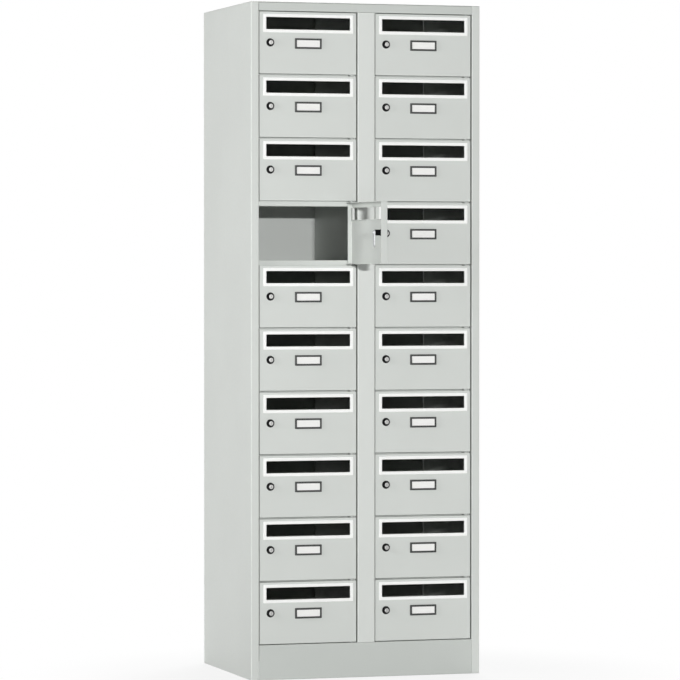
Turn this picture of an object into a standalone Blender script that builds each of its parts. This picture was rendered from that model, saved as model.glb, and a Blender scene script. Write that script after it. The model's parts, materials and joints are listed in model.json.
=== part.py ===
"""Mail distribution cabinet: two columns of locking letter boxes in a case of folded sheet steel.

Metres, +Z up. The front faces -Y. The origin lies on the floor, in the middle of the plinth's
foot flange. Widths run from the case's left edge, and depths run back from its front plane.
"""

import math

import bmesh
import bpy
from mathutils import Vector

# Case
WIDTH = 0.640
DEPTH = 0.480
HEIGHT = 1.800
SHEET = 0.001
SEAM = 0.0003
ROWS = 10
HEADER_HEIGHT = 0.024
PLINTH_HEIGHT = 0.093
PLINTH_FLANGE = 0.030
SIDE_STILE = 0.022
CENTRE_STILE = 0.048
STILE_OVERRUN = 0.003

# Doors: folded pans, hinged on the right and locked on the left
DOOR_SHEET = 0.001
DOOR_RECESS = 0.002
DOOR_PAN = 0.018
LOCK_GAP = 0.0018
HINGE_GAP = 0.0034
ROW_GAP = 0.004

# Hinges: a pin through the top and bottom flanges of each door
HINGE_INSET = 0.012
HINGE_BACK = 0.006
HINGE_FLANGE = 0.012
SWING_CLEARANCE = 0.0016
PIN_RADIUS = 0.002
PIN_CLEARANCE = 0.0004
PIN_ENTRY = 0.003
LUG_RADIUS = 0.0055
LUG_THICKNESS = 0.0018

# Letter slot, with its edges turned in and a trim frame round it
SLOT_LOCK_MARGIN = 0.0185
SLOT_HINGE_MARGIN = 0.0168
SLOT_DROP = 0.014
SLOT_HEIGHT = 0.033
SLOT_HEM = 0.004
TRIM_WIDTH = 0.008
TRIM_PROUD = 0.0012
TRIM_CHAMFER = 0.0008

# Label frame
LABEL_WIDTH = 0.071
LABEL_HEIGHT = 0.0265
LABEL_DROP = 0.0837
LABEL_PROUD = 0.0016
LABEL_BORDER = 0.004
LABEL_RECESS = 0.0009
LABEL_CHAMFER = 0.0006

# Cam lock
LOCK_INSET = 0.030
LOCK_DROP = 0.082
BEZEL_RADIUS = 0.011
BEZEL_PROUD = 0.0022
BEZEL_ROUND = 0.0006
BEZEL_RIM = 0.0006
DISH_DEPTH = 0.004
DISH_LEDGE = 0.0004
BARREL_RADIUS = 0.008
NUT_RADIUS = 0.0115
NUT_THICKNESS = 0.005
PLUG_RADIUS = 0.0045
PLUG_CLEARANCE = 0.0003
KEYWAY_WIDTH = 0.0014
KEYWAY_HEIGHT = 0.0064
KEYWAY_DEPTH = 0.004
CAM_CLEARANCE = 0.001
CAM_BITE = 0.006
CAM_WIDTH = 0.014
CAM_TIP_WIDTH = 0.011
CAM_THICKNESS = 0.0025
CAM_SCREW_RADIUS = 0.0038
CAM_SCREW_HEAD = 0.0022

# Shelves
SHELF_LIP = 0.025
LIP_RETURN = 0.012

# The door that stands open
OPEN_COLUMN = "L"
OPEN_ROW = 4
OPEN_ANGLE = math.radians(93)

ROUND_SIDES = 12
PIN_SIDES = 8
NUT_SIDES = 6
ARC_STEPS = 4

# Points closer than this are one point that rounding has split
MERGE_DISTANCE = 1e-6

# Places worked out from the sizes above
ROW_PITCH = (HEIGHT - HEADER_HEIGHT - PLINTH_HEIGHT) / ROWS
HEADER_BOTTOM = HEIGHT - HEADER_HEIGHT
CASE_TOP = HEIGHT - SHEET - SEAM
OPENING = (WIDTH - 2 * SIDE_STILE - CENTRE_STILE) / 2
COLUMN_START = {"L": SIDE_STILE, "R": SIDE_STILE + OPENING + CENTRE_STILE}
DOOR_WIDTH = OPENING - LOCK_GAP - HINGE_GAP
DOOR_HEIGHT = ROW_PITCH - ROW_GAP
HINGE_DEPTH = DOOR_RECESS + HINGE_BACK
SWING_RADIUS = max(
    math.hypot(HINGE_INSET, HINGE_BACK),
    math.hypot(HINGE_INSET, HINGE_FLANGE - HINGE_BACK),
    DOOR_PAN - HINGE_BACK,
)
LIP_DEPTH = HINGE_DEPTH + SWING_RADIUS + SWING_CLEARANCE
STILE_DEPTH = LIP_DEPTH + STILE_OVERRUN
CAM_DEPTH = STILE_DEPTH + CAM_CLEARANCE
CAM_REACH = LOCK_INSET + LOCK_GAP + CAM_BITE
PIN_REACH = ROW_GAP / 2 + DOOR_SHEET + PIN_ENTRY
CROSS_DEPTH = (LIP_DEPTH + DEPTH) / 2

PAINT = (0.624, 0.645, 0.617, 1.0)
ZINC = (0.42, 0.43, 0.44, 1.0)


def at_width(width):
    """X of a width from the case's left edge."""
    return width - WIDTH / 2


def at_depth(depth):
    """Y of a depth behind the front plane."""
    return depth - PLINTH_FLANGE / 2


def row_top(row):
    """Z of the boundary above a row, counted from 1 at the top."""
    return HEADER_BOTTOM - (row - 1) * ROW_PITCH


def hinge_width(column):
    return COLUMN_START[column] + OPENING - HINGE_GAP - HINGE_INSET


def clear_scene():
    for obj in list(bpy.data.objects):
        bpy.data.objects.remove(obj)


def finish_material(name, colour, metallic, roughness):
    material = bpy.data.materials.new(name)
    material.use_nodes = True
    shader = material.node_tree.nodes["Principled BSDF"]
    shader.inputs["Base Color"].default_value = colour
    shader.inputs["Metallic"].default_value = metallic
    shader.inputs["Roughness"].default_value = roughness
    return material


def make_object(name, mesh, material=None):
    obj = bpy.data.objects.new(name, mesh)
    bpy.context.scene.collection.objects.link(obj)
    if material and not mesh.materials:
        mesh.materials.append(material)
    return obj


def mesh_from(bm, name):
    bmesh.ops.recalc_face_normals(bm, faces=bm.faces)
    mesh = bpy.data.meshes.new(name)
    bm.to_mesh(mesh)
    bm.free()
    return mesh


def prism(name, outline, axis, low, high):
    """A mesh with this outline, extruded along an axis. The outline lies in the other two axes, in order."""
    place = {
        "X": lambda a, b: (low, a, b),
        "Y": lambda a, b: (a, low, b),
        "Z": lambda a, b: (a, b, low),
    }[axis]
    bm = bmesh.new()
    face = bm.faces.new([bm.verts.new(place(a, b)) for a, b in outline])
    made = bmesh.ops.extrude_face_region(bm, geom=[face])["geom"]
    moved = [part for part in made if isinstance(part, bmesh.types.BMVert)]
    along = Vector([high - low if letter == axis else 0 for letter in "XYZ"])
    bmesh.ops.translate(bm, verts=moved, vec=along)
    return mesh_from(bm, name)


def rectangle(low, high):
    return [(low[0], low[1]), (high[0], low[1]), (high[0], high[1]), (low[0], high[1])]


def block(name, low, high):
    return prism(name, rectangle(low[:2], high[:2]), "Z", low[2], high[2])


def circle(centre, radius, sides):
    turns = [2 * math.pi * (k + 0.5) / sides for k in range(sides)]
    return [(centre[0] + radius * math.cos(t), centre[1] + radius * math.sin(t)) for t in turns]


def channel(face, width, depth, sheet):
    """A U section with its back open: the face lies at the front, from face to face + width."""
    end = face + width
    return [
        (face, 0),
        (end, 0),
        (end, depth),
        (end - sheet, depth),
        (end - sheet, sheet),
        (face + sheet, sheet),
        (face + sheet, depth),
        (face, depth),
    ]


def turned(name, profile, sides):
    """A solid turned about the Y axis, from (radius, y) points that start and end on the axis."""
    bm = bmesh.new()
    points = [bm.verts.new((radius, y, 0)) for radius, y in profile]
    edges = [bm.edges.new(pair) for pair in zip(points, points[1:])]
    bmesh.ops.spin(
        bm,
        geom=points + edges,
        cent=(0, 0, 0),
        axis=(0, 1, 0),
        angle=2 * math.pi,
        steps=sides,
        use_merge=True,
    )
    bmesh.ops.remove_doubles(bm, verts=bm.verts, dist=MERGE_DISTANCE)
    return mesh_from(bm, name)


def sheet_body(name, bm, thickness):
    """A folded sheet: the faces are its outer skin, and its thickness lies behind them."""
    mesh = bpy.data.meshes.new(name)
    bm.to_mesh(mesh)
    bm.free()
    obj = make_object(name, mesh)
    wall = obj.modifiers.new("sheet", "SOLIDIFY")
    wall.thickness = thickness
    wall.offset = -1
    wall.use_even_offset = True
    return obj


def combine(obj, meshes, operation):
    """Adds a Boolean for each mesh, with the mesh on a hidden helper object."""
    for mesh in meshes:
        helper = make_object(mesh.name, mesh)
        helper.hide_render = True
        helper.display_type = "WIRE"
        step = obj.modifiers.new(mesh.name, "BOOLEAN")
        step.operation = operation
        step.solver = "EXACT"
        step.object = helper


def bake(obj):
    """The object's finished mesh. Its helpers and the object itself are removed."""
    bpy.context.view_layer.update()
    bm = bmesh.new()
    bm.from_object(obj, bpy.context.evaluated_depsgraph_get())
    bmesh.ops.remove_doubles(bm, verts=bm.verts, dist=MERGE_DISTANCE)
    mesh = bpy.data.meshes.new(obj.name)
    bm.to_mesh(mesh)
    bm.free()
    helpers = [step.object for step in obj.modifiers if step.type == "BOOLEAN"]
    for used in helpers + [obj]:
        bpy.data.objects.remove(used)
    return mesh


def side_panel(name, left, paint):
    low = (at_width(left), at_depth(0), 0)
    high = (at_width(left + SHEET), at_depth(DEPTH), CASE_TOP)
    make_object(name, block(name, low, high), paint)


def back_panel(paint):
    low = (at_width(SHEET + SEAM), at_depth(DEPTH - SHEET), 0)
    high = (at_width(WIDTH - SHEET - SEAM), at_depth(DEPTH), CASE_TOP)
    make_object("back_panel", block("back_panel", low, high), paint)


def top_panel(paint):
    low = (at_width(0), at_depth(0), HEIGHT - SHEET)
    high = (at_width(WIDTH), at_depth(DEPTH), HEIGHT)
    make_object("top_panel", block("top_panel", low, high), paint)


def bottom_panel(paint):
    low = (at_width(SHEET + SEAM), at_depth(STILE_DEPTH + SEAM), PLINTH_HEIGHT - SHEET)
    high = (at_width(WIDTH - SHEET - SEAM), at_depth(DEPTH - SHEET - SEAM), PLINTH_HEIGHT)
    make_object("bottom_panel", block("bottom_panel", low, high), paint)


def stile(name, left, width, low, high, paint):
    """An upright channel of the front frame, its open back towards the inside."""
    outline = [(at_width(w), at_depth(d)) for w, d in channel(left, width, STILE_DEPTH, SHEET)]
    make_object(name, prism(name, outline, "Z", low, high), paint)


def pin(name, column, low, high):
    centre = (at_width(hinge_width(column)), at_depth(HINGE_DEPTH))
    return prism(name, circle(centre, PIN_RADIUS, PIN_SIDES), "Z", low, high)


def cross_channel(name, outline, pin_low, pin_high, paint):
    """A channel across the front, between the side stiles, with the end hinge pins of both columns."""
    low = at_width(SIDE_STILE + SEAM)
    high = at_width(WIDTH - SIDE_STILE - SEAM)
    obj = make_object(name, prism(name, outline, "X", low, high))
    pins = [pin(f"{name}_pin_{column}", column, pin_low, pin_high) for column in COLUMN_START]
    combine(obj, pins, "UNION")
    make_object(name, bake(obj), paint)


def header_rail(paint):
    section = channel(HEADER_BOTTOM, CASE_TOP - HEADER_BOTTOM, STILE_DEPTH, SHEET)
    outline = [(at_depth(d), z) for z, d in section]
    cross_channel("header_rail", outline, row_top(1) - PIN_REACH, row_top(1) + SHEET / 2, paint)


def plinth_front(paint):
    """The plinth: its top carries the lowest hinge pins, and its foot flange stands on the floor."""
    top = PLINTH_HEIGHT
    outline = [
        (0, 0),
        (PLINTH_FLANGE, 0),
        (PLINTH_FLANGE, SHEET),
        (SHEET, SHEET),
        (SHEET, top - SHEET),
        (STILE_DEPTH, top - SHEET),
        (STILE_DEPTH, top),
        (0, top),
    ]
    outline = [(at_depth(d), z) for d, z in outline]
    cross_channel("plinth_front", outline, top - SHEET / 2, top + PIN_REACH, paint)


def centre_partition(paint):
    """The upright wall between the columns, slit from the front to its middle for each shelf."""
    front = SHEET + SEAM
    outline = [(front, PLINTH_HEIGHT + SEAM)]
    for row in range(ROWS, 1, -1):
        floor = row_top(row) + SHELF_LIP / 2
        outline += [
            (front, floor - SHEET - SEAM),
            (CROSS_DEPTH + SEAM, floor - SHEET - SEAM),
            (CROSS_DEPTH + SEAM, floor + SEAM),
            (front, floor + SEAM),
        ]
    back = DEPTH - SHEET - SEAM
    outline += [
        (front, HEADER_BOTTOM - SEAM),
        (STILE_DEPTH + SEAM, HEADER_BOTTOM - SEAM),
        (STILE_DEPTH + SEAM, CASE_TOP),
        (back, CASE_TOP),
        (back, PLINTH_HEIGHT + SEAM),
    ]
    outline = [(at_depth(d), z) for d, z in outline]
    low = at_width((WIDTH - SHEET) / 2)
    high = at_width((WIDTH + SHEET) / 2)
    make_object("centre_partition", prism("centre_partition", outline, "X", low, high), paint)


def shelf_floor_outline():
    """The shelf's plan from the left end of its front edge, notched round the stiles and slit at the back."""
    left, right = SHEET + SEAM, WIDTH - SHEET - SEAM
    notch = STILE_DEPTH + SEAM
    back = DEPTH - SHEET - SEAM
    slit = SHEET / 2 + SEAM
    outline = [(left, notch)]
    for column in COLUMN_START:
        start = COLUMN_START[column] + SEAM
        end = COLUMN_START[column] + OPENING - SEAM
        outline += [(start, notch), (start, LIP_DEPTH), (end, LIP_DEPTH), (end, notch)]
    outline += [
        (right, notch),
        (right, back),
        (WIDTH / 2 + slit, back),
        (WIDTH / 2 + slit, CROSS_DEPTH),
        (WIDTH / 2 - slit, CROSS_DEPTH),
        (WIDTH / 2 - slit, back),
        (left, back),
    ]
    return outline


def lug(name, column):
    """A round-nosed tongue that reaches from the shelf's lip to a hinge pin, between two doors."""
    centre = hinge_width(column)
    turns = [math.pi * (1 + k / ARC_STEPS) for k in range(ARC_STEPS + 1)]
    outline = [(centre + LUG_RADIUS * math.cos(t), HINGE_DEPTH + LUG_RADIUS * math.sin(t)) for t in turns]
    outline += [(centre + LUG_RADIUS, LIP_DEPTH + SHEET / 2), (centre - LUG_RADIUS, LIP_DEPTH + SHEET / 2)]
    outline = [(at_width(w), at_depth(d)) for w, d in outline]
    return prism(name, outline, "Z", -LUG_THICKNESS / 2, LUG_THICKNESS / 2)


def shelf_mesh():
    """A shelf about the row boundary at z = 0: the floor, two front lips, their returns, lugs and pins."""
    bm = bmesh.new()
    top = SHELF_LIP / 2
    corners = [bm.verts.new((at_width(w), at_depth(d), top)) for w, d in shelf_floor_outline()]
    bm.faces.new(corners)
    lip_edges = [
        edge for edge in bm.edges if all(abs(v.co.y - at_depth(LIP_DEPTH)) < SEAM / 10 for v in edge.verts)
    ]
    for step in (Vector((0, 0, -SHELF_LIP)), Vector((0, LIP_RETURN, 0))):
        made = bmesh.ops.extrude_edge_only(bm, edges=lip_edges)["geom"]
        bmesh.ops.translate(bm, verts=[v for v in made if isinstance(v, bmesh.types.BMVert)], vec=step)
        lip_edges = [
            edge
            for edge in made
            if isinstance(edge, bmesh.types.BMEdge) and abs(edge.verts[0].co.x - edge.verts[1].co.x) > SEAM
        ]
    bmesh.ops.recalc_face_normals(bm, faces=bm.faces)
    floor = max(bm.faces, key=lambda face: face.calc_area())
    if floor.normal.z < 0:
        bmesh.ops.reverse_faces(bm, faces=bm.faces)
    obj = sheet_body("shelf", bm, SHEET)
    lugs = [lug(f"lug_{column}", column) for column in COLUMN_START]
    pins = [pin(f"pin_{column}", column, -PIN_REACH, PIN_REACH) for column in COLUMN_START]
    combine(obj, lugs + pins, "UNION")
    return bake(obj)


def door_pan():
    """The folded door about its hinge axis: x runs left from it, y back, z up from the door's bottom edge."""
    left, right = HINGE_INSET - DOOR_WIDTH, HINGE_INSET
    front = -HINGE_BACK
    back = front + DOOR_PAN
    hinge_back = front + HINGE_FLANGE
    clipped = math.sqrt(max(SWING_RADIUS**2 - back**2, 0))
    bm = bmesh.new()
    rims = []
    for z in (0, DOOR_HEIGHT):
        points = [(left, back), (left, front), (right, front), (right, hinge_back), (clipped, back)]
        rims.append([bm.verts.new((x, y, z)) for x, y in points])
        bm.faces.new(rims[-1])
    for k in range(3):
        bm.faces.new((rims[0][k], rims[0][k + 1], rims[1][k + 1], rims[1][k]))
    bmesh.ops.recalc_face_normals(bm, faces=bm.faces)
    face = min(bm.faces, key=lambda f: f.calc_center_median().y)
    if face.normal.y > 0:
        bmesh.ops.reverse_faces(bm, faces=bm.faces)
    return sheet_body("door", bm, DOOR_SHEET)


def lock_place():
    """The lock's axis in the door's own frame."""
    return Vector((HINGE_INSET - DOOR_WIDTH + LOCK_INSET, -HINGE_BACK, DOOR_HEIGHT - LOCK_DROP))


def lock_housing():
    """The fixed part of the lock: a rounded bezel on the face, the barrel and its nut behind."""
    back = CAM_DEPTH - DOOR_RECESS - SEAM
    profile = [
        (0, -BEZEL_PROUD),
        (BEZEL_RADIUS - BEZEL_ROUND, -BEZEL_PROUD),
        (BEZEL_RADIUS, -BEZEL_PROUD + BEZEL_ROUND),
        (BEZEL_RADIUS, DOOR_SHEET / 2),
        (BARREL_RADIUS, DOOR_SHEET / 2),
        (BARREL_RADIUS, back),
        (0, back),
    ]
    barrel = turned("lock_barrel", profile, ROUND_SIDES)
    outline = circle((0, 0), NUT_RADIUS, NUT_SIDES)
    nut = prism("lock_nut", outline, "Y", DOOR_SHEET / 2, DOOR_SHEET + NUT_THICKNESS)
    return [barrel, nut]


def lock_bore():
    """What is cut out of the housing: a dish that opens to the bezel's rim, and the plug's bore behind it."""
    floor = DISH_DEPTH - BEZEL_PROUD
    bore = PLUG_RADIUS + PLUG_CLEARANCE
    ledge = bore + DISH_LEDGE
    rim = BEZEL_RADIUS - BEZEL_ROUND - BEZEL_RIM
    mouth = 2 * rim - ledge
    ahead = -BEZEL_PROUD - DISH_DEPTH
    end = CAM_DEPTH + CAM_THICKNESS
    profile = [(0, ahead), (mouth, ahead), (ledge, floor), (bore, floor), (bore, end), (0, end)]
    return turned("lock_bore", profile, ROUND_SIDES)


def label_place():
    """The middle of the label frame, on the door's face."""
    return Vector((HINGE_INSET - DOOR_WIDTH / 2, -HINGE_BACK, DOOR_HEIGHT - LABEL_DROP))


def slot_box(name, grow, low_depth, high_depth):
    left = HINGE_INSET - DOOR_WIDTH + SLOT_LOCK_MARGIN - grow
    right = HINGE_INSET - SLOT_HINGE_MARGIN + grow
    top = DOOR_HEIGHT - SLOT_DROP + grow
    bottom = DOOR_HEIGHT - SLOT_DROP - SLOT_HEIGHT - grow
    return block(name, (left, low_depth - HINGE_BACK, bottom), (right, high_depth - HINGE_BACK, top))


def label_box(name, border, low_depth, high_depth):
    middle = label_place()
    half = Vector((LABEL_WIDTH / 2 - border, 0, LABEL_HEIGHT / 2 - border))
    low = middle - half + Vector((0, low_depth, 0))
    high = middle + half + Vector((0, high_depth, 0))
    return block(name, low, high)


def chamfer_front(mesh, size):
    """Slopes the edges round the front face of a block."""
    bm = bmesh.new()
    bm.from_mesh(mesh)
    front = min(bm.faces, key=lambda face: face.calc_center_median().y)
    edges = list(front.edges)
    bmesh.ops.bevel(bm, geom=edges, offset=size, segments=1, profile=0.5, affect="EDGES", material=-1)
    bm.to_mesh(mesh)
    bm.free()
    return mesh


def door_mesh():
    """A whole door: the pan with its slot and trim, label frame, lock housing and hinge holes."""
    obj = door_pan()
    housing = lock_housing()
    bore = lock_bore()
    for mesh in housing + [bore]:
        for vertex in mesh.vertices:
            vertex.co += lock_place()
    hem = slot_box("slot_hem", DOOR_SHEET, DOOR_SHEET / 2, DOOR_SHEET + SLOT_HEM)
    trim = chamfer_front(slot_box("slot_trim", TRIM_WIDTH, -TRIM_PROUD, DOOR_SHEET / 2), TRIM_CHAMFER)
    frame = chamfer_front(label_box("label_frame", 0, -LABEL_PROUD, DOOR_SHEET / 2), LABEL_CHAMFER)
    combine(obj, [hem, trim, frame] + housing, "UNION")
    slot = slot_box("slot", 0, -DOOR_PAN, DOOR_PAN)
    card_field = label_box("card_field", LABEL_BORDER, -2 * LABEL_PROUD, LABEL_RECESS - LABEL_PROUD)
    hole = circle((0, 0), PIN_RADIUS + PIN_CLEARANCE, PIN_SIDES)
    pin_hole = prism("pin_hole", hole, "Z", -DOOR_SHEET, DOOR_HEIGHT + DOOR_SHEET)
    combine(obj, [slot, card_field, bore, pin_hole], "DIFFERENCE")
    return bake(obj)


def cam_outline():
    """The cam plate as it hangs: round about the lock's axis, tapering to a round tip below it."""
    hub = CAM_WIDTH / 2
    tip = CAM_TIP_WIDTH / 2
    drop = CAM_REACH - tip
    turns = [math.pi * k / ARC_STEPS for k in range(ARC_STEPS + 1)]
    outline = [(hub * math.cos(t), hub * math.sin(t)) for t in turns]
    return outline + [(-tip * math.cos(t), -drop - tip * math.sin(t)) for t in turns]


def lock_mesh():
    """The turning part of the lock: the plug with its keyway, the cam and the screw that holds it."""
    cam_start = CAM_DEPTH - DOOR_RECESS
    cam_end = cam_start + CAM_THICKNESS
    face = DISH_DEPTH - BEZEL_PROUD
    profile = [
        (0, face),
        (PLUG_RADIUS, face),
        (PLUG_RADIUS, cam_start + CAM_THICKNESS / 2),
        (CAM_SCREW_RADIUS, cam_start + CAM_THICKNESS / 2),
        (CAM_SCREW_RADIUS, cam_end + CAM_SCREW_HEAD),
        (0, cam_end + CAM_SCREW_HEAD),
    ]
    obj = make_object("lock", turned("lock_plug", profile, ROUND_SIDES))
    cam = prism("cam", cam_outline(), "Y", cam_start, cam_end)
    combine(obj, [cam], "UNION")
    keyway = block(
        "keyway",
        (-KEYWAY_WIDTH / 2, face - KEYWAY_DEPTH, -KEYWAY_HEIGHT / 2),
        (KEYWAY_WIDTH / 2, face + KEYWAY_DEPTH, KEYWAY_HEIGHT / 2),
    )
    combine(obj, [keyway], "DIFFERENCE")
    return bake(obj)


def doors_and_locks(paint, zinc):
    """Every door turns about its own hinge axis, and carries its lock."""
    door_shape, lock_shape = door_mesh(), lock_mesh()
    for column in COLUMN_START:
        for row in range(1, ROWS + 1):
            place = f"{column}{row:02d}"
            door = make_object(f"door_{place}", door_shape, paint)
            bottom = row_top(row) - ROW_GAP / 2 - DOOR_HEIGHT
            door.location = (at_width(hinge_width(column)), at_depth(HINGE_DEPTH), bottom)
            if (column, row) == (OPEN_COLUMN, OPEN_ROW):
                door.rotation_euler.z = OPEN_ANGLE
            lock = make_object(f"lock_{place}", lock_shape, zinc)
            lock.parent = door
            lock.location = lock_place()


def main():
    clear_scene()
    paint = finish_material("light_grey_paint", PAINT, 0.0, 0.45)
    zinc = finish_material("zinc_plate", ZINC, 1.0, 0.35)
    side_panel("left_side_panel", 0, paint)
    side_panel("right_side_panel", WIDTH - SHEET, paint)
    back_panel(paint)
    top_panel(paint)
    bottom_panel(paint)
    stile_width = SIDE_STILE - SHEET - SEAM
    stile("left_stile", SHEET + SEAM, stile_width, 0, CASE_TOP, paint)
    stile("right_stile", WIDTH - SIDE_STILE, stile_width, 0, CASE_TOP, paint)
    middle = (WIDTH - CENTRE_STILE) / 2
    stile("centre_stile", middle, CENTRE_STILE, PLINTH_HEIGHT + SEAM, HEADER_BOTTOM - SEAM, paint)
    header_rail(paint)
    plinth_front(paint)
    centre_partition(paint)
    shelf_shape = shelf_mesh()
    for row in range(2, ROWS + 1):
        shelf = make_object(f"shelf_{row - 1:02d}", shelf_shape, paint)
        shelf.location.z = row_top(row)
    doors_and_locks(paint, zinc)


main()
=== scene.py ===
# %% [markdown]
# # A mail distribution cabinet
# A tall case of folded sheet steel, with two columns of small locking doors. Each door has a slot at
# the top, a cam lock on the left and a label frame in the middle, and one door stands open.
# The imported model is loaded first. It fixes where every piece is and how it moves, and the cells
# below give each piece its finished form and surface.

# %% Load the frame
import json
import math

import bmesh
import bpy
from mathutils import Euler, Matrix, Vector


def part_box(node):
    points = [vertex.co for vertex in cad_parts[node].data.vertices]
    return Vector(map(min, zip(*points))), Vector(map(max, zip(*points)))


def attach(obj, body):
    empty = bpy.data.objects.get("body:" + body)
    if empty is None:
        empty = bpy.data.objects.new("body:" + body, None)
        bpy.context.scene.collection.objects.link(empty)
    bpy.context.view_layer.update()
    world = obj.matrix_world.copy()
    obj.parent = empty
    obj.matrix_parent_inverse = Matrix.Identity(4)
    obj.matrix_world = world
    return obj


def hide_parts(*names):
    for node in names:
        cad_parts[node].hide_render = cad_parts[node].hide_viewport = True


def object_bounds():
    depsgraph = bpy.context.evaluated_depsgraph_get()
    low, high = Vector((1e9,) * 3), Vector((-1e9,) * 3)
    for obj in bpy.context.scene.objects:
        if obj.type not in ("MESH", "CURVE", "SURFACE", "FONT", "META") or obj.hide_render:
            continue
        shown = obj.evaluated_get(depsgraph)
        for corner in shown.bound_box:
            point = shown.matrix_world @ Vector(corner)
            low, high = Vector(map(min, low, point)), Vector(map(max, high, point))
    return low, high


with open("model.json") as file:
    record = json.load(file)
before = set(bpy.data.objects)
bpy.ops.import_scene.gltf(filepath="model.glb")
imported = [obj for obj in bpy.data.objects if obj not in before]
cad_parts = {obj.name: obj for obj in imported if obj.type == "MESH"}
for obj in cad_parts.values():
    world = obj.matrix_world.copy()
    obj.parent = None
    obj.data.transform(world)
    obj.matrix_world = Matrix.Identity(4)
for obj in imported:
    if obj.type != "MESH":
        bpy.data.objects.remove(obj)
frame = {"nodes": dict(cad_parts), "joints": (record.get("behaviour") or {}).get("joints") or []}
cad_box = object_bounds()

print("the part measures", [round(size, 4) for size in cad_box[1] - cad_box[0]], "m")

# %% [markdown]
# ## The places that everything is built from
# Each door turns about a hinge axis, and the joints say where these axes are. A door can therefore
# be modelled once, about its own axis, and then set down twenty times. The door that stands open has
# a range that starts below zero, which gives how far it is open at rest.

# %% Find the hinges
swings = {
    joint["child"].removeprefix("door_"): joint
    for joint in frame["joints"]
    if joint["child"].startswith("door_")
}


def door_place(place):
    """The matrix that sets a door, modelled about its hinge axis, in its place."""
    swing = swings[place]
    hinge = Vector(swing["pos_m"])
    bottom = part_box(f"door_{place}")[0].z
    opened = -math.radians(swing["range_deg"][0])
    return Matrix.Translation((hinge.x, hinge.y, bottom)) @ Matrix.Rotation(opened, 4, "Z")


open_doors = [place for place in swings if swings[place]["range_deg"][0] < 0]
print(len(swings), "doors, of which these stand open:", open_doors)

# %% [markdown]
# ## The camera
# The upright edges of the cabinet look parallel in the picture, and its level edges hardly converge.
# So the camera stands ten metres away with a long lens, a little above the middle of the cabinet, and
# looks down at it by only one degree.

# %% Set up the camera
CAMERA_PLACE = (-3.057, -9.738, 1.085)
CAMERA_TURN = math.radians(-17.058)
CAMERA_TILT = math.radians(-1.028)
LENS_MM = 201.9
FILM_MM = 36.0
FARTHEST_SEEN = 100.0

camera = bpy.data.objects.new("camera", bpy.data.cameras.new("camera"))
camera.location = CAMERA_PLACE
camera.rotation_euler = (math.radians(90) + CAMERA_TILT, 0, CAMERA_TURN)
camera.data.sensor_width = FILM_MM
camera.data.lens = LENS_MM
camera.data.clip_end = FARTHEST_SEEN
scene = bpy.context.scene
scene.collection.objects.link(camera)
scene.camera = camera
scene.view_settings.view_transform = "Standard"
print("camera", round((Vector(CAMERA_PLACE) - Vector((0, 0, CAMERA_PLACE[2]))).length, 2), "m away")

# %% [markdown]
# ## The white room
# The cabinet stands in an even white room. The world gives soft light from all round, and it is plain
# white where the camera, a reflection or a see-through surface looks straight at it.

# %% White room
AMBIENT = 0.06


def seen_directly(tree):
    """One where the camera, a reflection or a see-through surface looks, and nought for other light."""
    path = tree.nodes.new("ShaderNodeLightPath")
    total = path.outputs["Is Camera Ray"]
    for ray in ("Is Glossy Ray", "Is Transmission Ray"):
        either = tree.nodes.new("ShaderNodeMath")
        either.operation = "MAXIMUM"
        tree.links.new(total, either.inputs[0])
        tree.links.new(path.outputs[ray], either.inputs[1])
        total = either.outputs[0]
    return total


world = bpy.data.worlds.new("white_room")
scene.world = world
world.use_nodes = True
tree = world.node_tree
tree.nodes.clear()
ambient = tree.nodes.new("ShaderNodeBackground")
ambient.inputs["Strength"].default_value = AMBIENT
plain_white = tree.nodes.new("ShaderNodeBackground")
choose = tree.nodes.new("ShaderNodeMixShader")
result = tree.nodes.new("ShaderNodeOutputWorld")
for background in (ambient, plain_white):
    background.inputs["Color"].default_value = (1, 1, 1, 1)
tree.links.new(seen_directly(tree), choose.inputs["Fac"])
tree.links.new(ambient.outputs[0], choose.inputs[1])
tree.links.new(plain_white.outputs[0], choose.inputs[2])
tree.links.new(choose.outputs[0], result.inputs["Surface"])
print("white room with ambient light of", AMBIENT)

# %% [markdown]
# ## The lamps
# Three lamps do the rest: one beside the camera for the front, narrow enough to reach the back wall of
# the open box, a large one on the left for the side, and a large one behind for the back, the top and
# the right. Each turn is counted from straight in front of the cabinet toward its left.

# %% Lamps
KEY_TURN, KEY_RISE = math.radians(6), math.radians(5.2)
KEY_AWAY = 10.2
KEY_SIZE = (0.5, 0.1)
KEY_WATTS = 650
FILL_TURN, FILL_RISE = math.radians(84), math.radians(12)
FILL_AWAY = 4.5
FILL_SIZE = (3.0, 2.4)
FILL_WATTS = 128
BACK_TURN, BACK_RISE = math.radians(207), math.radians(40)
BACK_AWAY = 5.0
BACK_SIZE = (3.0, 3.0)
BACK_WATTS = 320
MID_HEIGHT = (cad_box[0].z + cad_box[1].z) / 2


def lamp(name, turn, rise, away, size, watts):
    """A rectangular lamp that faces the middle of the cabinet, turned to the left of its front."""
    target = Vector((0, 0, MID_HEIGHT))
    toward = Vector((-math.sin(turn) * math.cos(rise), -math.cos(turn) * math.cos(rise), math.sin(rise)))
    light = bpy.data.lights.new(name, "AREA")
    light.shape = "RECTANGLE"
    light.size, light.size_y = size
    light.energy = watts
    stand = bpy.data.objects.new(name, light)
    stand.location = target + toward * away
    stand.rotation_euler = toward.to_track_quat("Z", "Y").to_euler()
    scene.collection.objects.link(stand)
    return stand


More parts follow.
